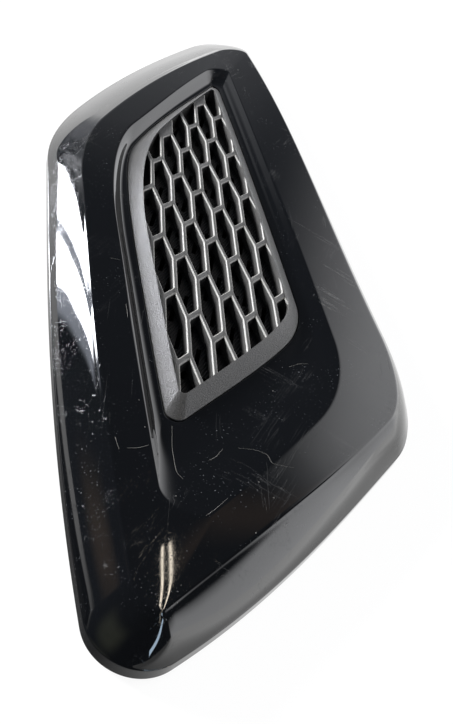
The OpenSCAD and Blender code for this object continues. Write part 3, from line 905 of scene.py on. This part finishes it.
# %% Seal and screen
SEAL_W, SEAL_GAP, SEAL_Z, SEAL_CLEAR, SEAL_TILT, SEAL_EASE = 3.6, 0.1, 0.3, 0.4, 24, 0.35
seal_top = RIM_H - WALL / 2 - SEAL_CLEAR
seal_inner_top = seal_top + SEAL_W * math.tan(math.radians(SEAL_TILT))
edges = [ring(BODY, BODY_FORM, z, -WALL - SEAL_GAP - width)
         for z, width in ((SEAL_Z, 0), (seal_top, 0), (seal_inner_top, SEAL_W), (SEAL_Z, SEAL_W))]
seal = ring_mesh("seal_strip", spline(rounded([(edge, SEAL_EASE) for edge in edges]), 3))
finish_mesh(seal, SPONGE)
for place in frame["nodes"]["backing_screen"].material_slots:
    place.material = SCREEN
report("seal", seal)

# %% [markdown]
# ## Lint and flecks
# A used gloss part holds stray fibres and flecks of dust. Each one is placed where it shows in the
# photograph: a ray from the lens finds the surface under it, so the fibre lies on the plastic and is right
# from every side.

# %% Lint and flecks
FIBRE_R, FLECK_R = 0.04, 0.16
FIBRES = [
    ((172, 426), (172, 448), (176, 472), (183, 479)), ((289, 367), (299, 364), (308, 364)),
    ((208, 461), (216, 457), (223, 449)), ((238, 448), (256, 450), (268, 455), (272, 464), (294, 468)),
    ((115, 437), (119, 449)), ((127, 448), (138, 448), (149, 445)), ((110, 258), (120, 260)),
    ((126, 304), (128, 318)), ((206, 516), (217, 508), (228, 498))]
FLECKS = [(273, 391), (259, 482), (274, 498), (176, 496), (177, 603), (256, 533), (139, 400), (145, 427),
          (238, 70)]

skins = []
for piece in (surround, grille):
    skins.append(BVHTree.FromPolygons([v.co for v in piece.data.vertices],
                                      [p.vertices for p in piece.data.polygons]))


def landed(u, v):
    """The nearest point and normal under a pixel of the photograph, in millimetres."""
    hits = [skin.ray_cast(EYE * MM, sight(u, v)) for skin in skins]
    point, normal, _, _ = min((h for h in hits if h[0] is not None), key=lambda h: h[3])
    return point / MM, normal


def fibre(route, sides=5):
    """A thin tapered thread that lies along its route on the surface."""
    route = [np.array(p, float) for p in route]
    pixels = [p + (q - p) * t for p, q in zip(route, route[1:]) for t in (0, 0.25, 0.5, 0.75)] + [route[-1]]
    places = [landed(u, v) for u, v in pixels]
    path = np.array([p + n * FIBRE_R for p, n in places])
    path[1:-1] = (path[:-2] + 2 * path[1:-1] + path[2:]) / 4
    loops = []
    for k, point in enumerate(path):
        ahead = Vector(path[min(k + 1, len(path) - 1)] - path[max(k - 1, 0)]).normalized()
        up = places[k][1]
        side_way = ahead.cross(up).normalized()
        radius = FIBRE_R * (0.5 + math.sin(math.pi * (k + 0.5) / len(path)) / 2)
        loops.append([Vector(point) + radius * (math.cos(a) * side_way + math.sin(a) * up)
                      for a in np.arange(sides) * 2 * math.pi / sides])
    verts = [p for points in loops for p in points]
    faces = [tuple(range(sides)), tuple(range(len(verts) - sides, len(verts)))[::-1]]
    for row in range(len(loops) - 1):
        a = row * sides
        faces += [(a + n, a + sides + n, a + sides + (n + 1) % sides, a + (n + 1) % sides)
                  for n in range(sides)]
    return verts, faces


verts, faces = [], []
for route in FIBRES:
    more, joined = fibre(route)
    faces += [tuple(len(verts) + n for n in face) for face in joined]
    verts += more
fibres = finish_mesh(mesh_object("lint_fibres", verts, faces), LINT, 80)
fleck = turned("fleck", [(0, 0)], [(0, -0.02), (FLECK_R, 0), (FLECK_R * 0.6, 0.07), (0, 0.09)], 7)
flecks = mesh_object("dust_flecks", [landed(u, v)[0] for u, v in FLECKS], [])
grown_by_nodes(flecks, copies_tree(), Piece=fleck, Finish=LINT, Spread=2 * math.pi, Seed=7)
bpy.data.objects.remove(fleck)
finish_mesh(flecks, LINT, 30)
report("lint fibres", fibres)
report("dust flecks", flecks)

# %% [markdown]
# ## Studio
# The floor and the background are white to the camera, and the floor keeps the vent's shadow. Gloss black
# shows its surroundings, so the room matters more than the lamps. It could be built from many lamps and
# cards, but a world shader is simpler to place: each card is a patch of directions. The room is dim. One
# large pale wall on the right greys the right flank, two soft strips on the left draw the leaning streaks,
# and a low light band at the back brightens the top bevel. Thin tubes overhead draw fine lines near the
# foot.

# %% Floor
FLOOR = 4000             # half the floor's width, mm
UNDER_GAP = 0.05         # the shaded card lies this far above the floor, mm
FLOOR_GLOW = 1.07        # how bright the camera sees the floor, before its shadow


def past(tree, place, normal, offset):
    """How far a place on the floor lies beyond a straight line, in metres."""
    return times_plus(tree, place["X"], normal[0], times_plus(tree, place["Y"], normal[1], -offset))


def painted_floor_light(tree, place):
    """Painted light and shade on the floor, seen only in the gloss: pale beyond the right side, dim on the
    left and far in front.
    """
    right = math_node(tree, "MAXIMUM", past(tree, place, (1, 0), 0.055),
                      past(tree, place, (0.616, -0.788), 0.103))
    back = past(tree, place, (-0.799, 0.602), 0.074)
    tip = smooth_step(tree, place["Y"], -0.085, -0.125)
    near_tip = times(tree, smooth_step(tree, right, 0.0, 0.07), times(tree, tip, 1.8))
    pale = math_node(tree, "MAXIMUM", times(tree, smooth_step(tree, right, 0.0, 0.15), 1.1), near_tip)
    pale = times_plus(tree, smooth_step(tree, back, 0.0, 0.02), 0.3, math_node(tree, "ADD", pale, 1.05))
    front = smooth_step(tree, past(tree, place, (-0.6, -1), 0), 0.15, 0.26)
    pale = times(tree, pale, times_plus(tree, front, -0.8, 1.0))
    away = smooth_step(tree, past(tree, place, (-1, 0), 0.055), 0.012, 0.045)
    dim = times_plus(tree, smooth_step(tree, place["Y"], -0.12, 0.04), 0.95, 0.12)
    dim = times(tree, dim, times_plus(tree, away, -0.85, 1.0))
    share = smooth_step(tree, math_node(tree, "MAXIMUM", right, back), -0.015, 0.005)
    return times_plus(tree, share, math_node(tree, "SUBTRACT", pale, dim), dim)


def white_card():
    """White card. The camera sees it white with a light shadow, and the gloss sees painted light and shade on
    it.
    """
    made, tree = blank("white_card")
    made.cycles.emission_sampling = "NONE"
    path = tree.nodes.new("ShaderNodeLightPath").outputs
    here = add(tree, "ShaderNodeTexCoord").outputs["Object"]
    place = add(tree, "ShaderNodeSeparateXYZ", Vector=here).outputs
    # painted light and shade: the floor glows for glossy rays, brighter or dimmer by place
    painted_light = math_node(tree, "SUBTRACT", painted_floor_light(tree, place), FLOOR_GLOW)
    glow = add(tree, "ShaderNodeEmission",
               Strength=times_plus(tree, path["Is Glossy Ray"], painted_light, FLOOR_GLOW))
    share = times_plus(tree, path["Is Camera Ray"], 0.88, path["Is Glossy Ray"])
    white = add(tree, "ShaderNodeBsdfDiffuse", Color=linear("#e6e6e6"))
    both = add(tree, "ShaderNodeMixShader", i0=share, i1=white.outputs[0], i2=glow.outputs[0])
    shown(tree, both.outputs[0])
    return made


def shaded_card():
    """Dark card of painted shade, for the floor that the vent covers: the floor is white there too, and the
    dark colour stands in for the shade under the vent.
    """
    made, tree = blank("shaded_card")
    # painted shade: a dark grey in place of the white floor in the vent's shade
    shown(tree, add(tree, "ShaderNodeBsdfDiffuse", Color=linear("#161616")).outputs[0])
    return made


square = [(-FLOOR, -FLOOR, 0), (FLOOR, -FLOOR, 0), (FLOOR, FLOOR, 0), (-FLOOR, FLOOR, 0)]
under = ring(BODY, BODY_FORM, UNDER_GAP, -WALL - 0.1)[::-1]
for name, outline, card in (("floor", square, white_card()), ("floor_under_vent", under, shaded_card())):
    piece = mesh_object(name, outline, [tuple(range(len(outline)))])
    piece.data.materials.append(card)
    print("stage:", name)
SCENE.view_settings.view_transform = "Standard"


# %% Room
def window(tree, value, low, high, soft):
    """1 between low and high, with soft edges."""
    return times(tree, smooth_step(tree, value, low - soft, low + soft),
                 smooth_step(tree, value, high + soft, high - soft))


def patch(tree, *edges):
    """1 where each value lies between its low and high, with its soft edge."""
    mask = 1.0
    for value, low, high, soft in edges:
        mask = times(tree, window(tree, value, low, high, soft), mask)
    return mask


def beyond(tree, aim, normal):
    """The part of a direction along a normal."""
    product = add(tree, "ShaderNodeVectorMath", {"operation": "DOT_PRODUCT"}, i0=aim, i1=normal)
    return product.outputs["Value"]


def level(hex_colour, strength):
    """A light's colour at a strength, which may be over 1."""
    return tuple(c * strength for c in linear(hex_colour)[:3]) + (1.0,)


def right_wall(tree, aim, way, around, height, falling):
    """The large pale wall, with a sloping edge. It fades where the upper right flank mirrors it."""
    wall = times(tree, smooth_step(tree, beyond(tree, aim, (0.870, -0.203, -0.449)), -0.11, 0.09),
                 patch(tree, (way["Z"], -1.0, 0.72, 0.05), (around, 5, 150, 4)))
    wall = times(tree, wall, smooth_step(tree, falling, 110.0, 102.0))
    faded = times(tree, smooth_step(tree, around, 44.0, 24.0), smooth_step(tree, height, 8.0, 17.0))
    return times(tree, wall, math_node(tree, "SUBTRACT", 1.0, faded))


def room():
    """Patches of light, by the degrees around from +Y towards +X and the degrees above the floor."""
    world = bpy.data.worlds.new("studio_room")
    world.use_nodes = True
    tree = world.node_tree
    tree.nodes.clear()
    aim = add(tree, "ShaderNodeTexCoord").outputs["Generated"]
    way = add(tree, "ShaderNodeSeparateXYZ", Vector=aim).outputs
    around = times(tree, math_node(tree, "ARCTAN2", way["X"], way["Y"]), math.degrees(1))
    height = times(tree, math_node(tree, "ARCSINE", way["Z"]), math.degrees(1))
    falling = times_plus(tree, around, 0.9, height)
    leaning = times_plus(tree, height, 0.12, around)
    cloud = add(tree, "ShaderNodeTexNoise", Vector=aim, Scale=9.0, Detail=4.0, Distortion=1.5).outputs["Fac"]
    smear = smooth_step(tree, cloud, 0.35, 0.62)
    ridge = beyond(tree, aim, (-0.197, 0.880, -0.431))
    layers = [
        # a wide dim glow at the back, and a stronger one on its left
        (patch(tree, (around, -12, 22, 7), (height, -2, 26, 9)), "#e9ecf2", 0.42),
        (patch(tree, (around, -14, -2, 4), (height, 0, 34, 6)), "#e9ecf2", 0.7),
        # cloudy smears at the upper left
        (times(tree, patch(tree, (around, -29, -6, 2), (height, 1, 20, 3)), smear), "#c9ccd4", 0.8),
        (times(tree, patch(tree, (around, -30, -22, 1.5), (height, 5, 24, 3)), smear), "#eef0f6", 2.0),
        # the low light band behind the top end
        (patch(tree, (around, -5, 24, 3), (height, -30, 5, 2)), "#ffffff", 1.4),
        # dim brown and olive things in the room
        (patch(tree, (ridge, -0.02, 0.02, 0.02), (way["Z"], 0.7, 0.88, 0.03), (around, 31, 80, 1.5)),
         "#6f635c", 1.6),
        (patch(tree, (around, -66, -55, 5), (height, 6, 17, 4)), "#8a7a6c", 1.6),
        (patch(tree, (around, -132, -92, 12), (height, 9, 22, 5)), "#7d8071", 1.7),
        # the pale wall on the right, and its bright far end
        (right_wall(tree, aim, way, around, height, falling), "#fbfcff", 2.2),
        (patch(tree, (around, 94, 122, 3), (falling, 60, 112, 4)), "#fbfcff", 2.8),
        # the two leaning strips on the left, in their glow
        (patch(tree, (leaning, -41, -31, 0.8), (height, -3, 21, 2)), "#dde4f2", 3.2),
        (patch(tree, (leaning, -33.6, -30.3, 0.3), (height, -3, 18, 1.5)), "#f6f8ff", 75),
        (patch(tree, (leaning, -38.5, -35.0, 0.3), (height, -3, 20.5, 1.5)), "#f6f8ff", 80)]
    colour = level("#b4bccb", 0.16)
    for mask, tint, strength in layers:
        colour = blend_colour(tree, mask, colour, level(tint, strength))
    camera_ray = tree.nodes.new("ShaderNodeLightPath").outputs["Is Camera Ray"]
    back = add(tree, "ShaderNodeBackground", Color=blend_colour(tree, camera_ray, colour, "#ffffff"))
    tree.links.new(back.outputs[0], add(tree, "ShaderNodeOutputWorld").inputs["Surface"])
    print("room:", len(layers), "patches of light")
    return world


SCENE.world = room()


# %% Lamps
def way_to(azimuth, height):
    """Direction at an azimuth from +Y towards +X and a height above the floor, in degrees."""
    a, e = math.radians(azimuth), math.radians(height)
    return Vector((math.sin(a) * math.cos(e), math.cos(a) * math.cos(e), math.sin(e)))


def lamp(name, middle, along, size, power, seen_in_gloss):
    """A rectangular lamp that faces the vent."""
    data = bpy.data.lights.new(name, "AREA")
    data.shape = "RECTANGLE"
    data.size, data.size_y = size
    data.energy = power
    made = bpy.data.objects.new(name, data)
    back = middle.normalized()
    across = back.cross(along).normalized()
    turn = Matrix((across.cross(back), across, back)).transposed().to_4x4()
    made.matrix_world = Matrix.Translation(middle) @ turn
    made.visible_camera = False
    made.visible_glossy = seen_in_gloss
    made.visible_diffuse = not seen_in_gloss
    SCENE.collection.objects.link(made)
    return made


def strip_lamp(name, first, last, width_deg, radiance, distance=8.0):
    """A thin lamp between two directions, bright enough to draw a streak in the gloss."""
    a, b = way_to(*first) * distance, way_to(*last) * distance
    length, width = (b - a).length, distance * math.radians(width_deg)
    return lamp(name, (a + b) / 2, b - a, (length, width), radiance * math.pi * length * width, True)


def soft_lamp(name, azimuth, height, size, level, distance=2.0):
    """A soft lamp out of the reflections; level 1 shows a facing colour as it is written."""
    return lamp(name, way_to(azimuth, height) * distance, Vector((0, 0, 1)), (size, size),
                level * math.pi ** 2 * distance ** 2, False)


strip_lamp("tube_1", (27.1, 57.05), (162, 23), 0.30, 20).data.color = linear("#fff2de")[:3]
strip_lamp("tube_2", (28.6, 56.6), (156.5, 20), 0.34, 20).data.color = linear("#fff2de")[:3]
strip_lamp("ridge_window", (139, 22), (172, 4), 5.0, 11).data.color = linear("#c4dcf2")[:3]
soft_lamp("insert_key", -50, 20, 0.5, 2.4)
soft_lamp("insert_top", 60, 62, 0.8, 0.35)

# %% [markdown]
# ## Joining the frame
# The vent is one fixed body, so every piece rides on it. The smooth pieces stand for their CAD nodes, and
# the screen stays as it is.

# %% Ride and replace
for piece, slot, nodes in (
        (surround, "gloss_surround", ["surround"]), (grille, "matt_grille", ["grille_insert"]),
        (insert_screws, "screw_steel", [f"grille_screw_{n}" for n in range(1, 7)]),
        (seal, "foam_seal", ["rim_seal"]), (fibres, "matt_grille", []), (flecks, "matt_grille", [])):
    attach(piece, "root")
    if nodes:
        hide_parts(*nodes)
